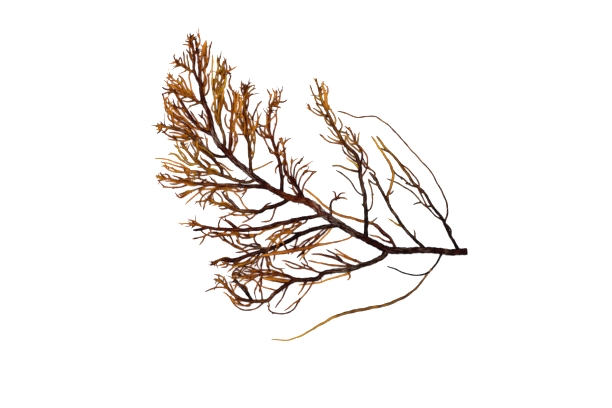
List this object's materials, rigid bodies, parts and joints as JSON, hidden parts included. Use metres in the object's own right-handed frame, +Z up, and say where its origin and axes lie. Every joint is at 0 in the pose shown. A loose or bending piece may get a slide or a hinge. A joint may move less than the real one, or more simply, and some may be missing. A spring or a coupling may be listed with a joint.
{
  "type": "cystoseira seaweed frond",
  "caption": "Dried brown seaweed frond lying flat: a curved dark stipe with a cut end and flat branching shoots of fine amber and brown twigs fanning out from both sides.",
  "frame": {"origin": "under the middle of the frond's footprint, on the surface that it lies on", "axes": "+Z up from that surface, +X towards the cut end of the stipe, +Y towards the crown; the picture looks down -Z"},
  "size_m": [0.157, 0.1542, 0.012],
  "materials": {
    "stipe": "dried, near-black brown, faint bluish sheen",
    "brown_twig": "dried, dark brown to red-brown, satin",
    "olive_twig": "dried, olive brown to amber, satin",
    "amber_blade": "dried, thin, amber and slightly translucent"
  },
  "bodies": {
    "root": {"main_axis": "stipe", "whip_shoot": "olive_twig", "twin_blade_shoot": "olive_twig", "strap_shoot": "amber_blade", "right_shoot": "brown_twig", "curled_twig": "brown_twig", "finger_shoot": "brown_twig", "centre_shoot": "brown_twig", "tall_shoot": "brown_twig", "inner_shoot": "brown_twig", "amber_shoot": "olive_twig", "crown_shoot": "brown_twig", "fan_shoot": "brown_twig", "upper_left_shoot": "brown_twig", "dark_left_shoot": "brown_twig", "long_left_shoot": "brown_twig", "mid_left_shoot": "olive_twig", "flat_left_shoot": "brown_twig", "lower_mid_shoot": "brown_twig", "lower_left_shoot": "brown_twig", "lower_shoot": "brown_twig", "broad_blade": "amber_blade", "low_branch": "brown_twig", "long_ribbon": "amber_blade"}
  },
  "joints": []
}
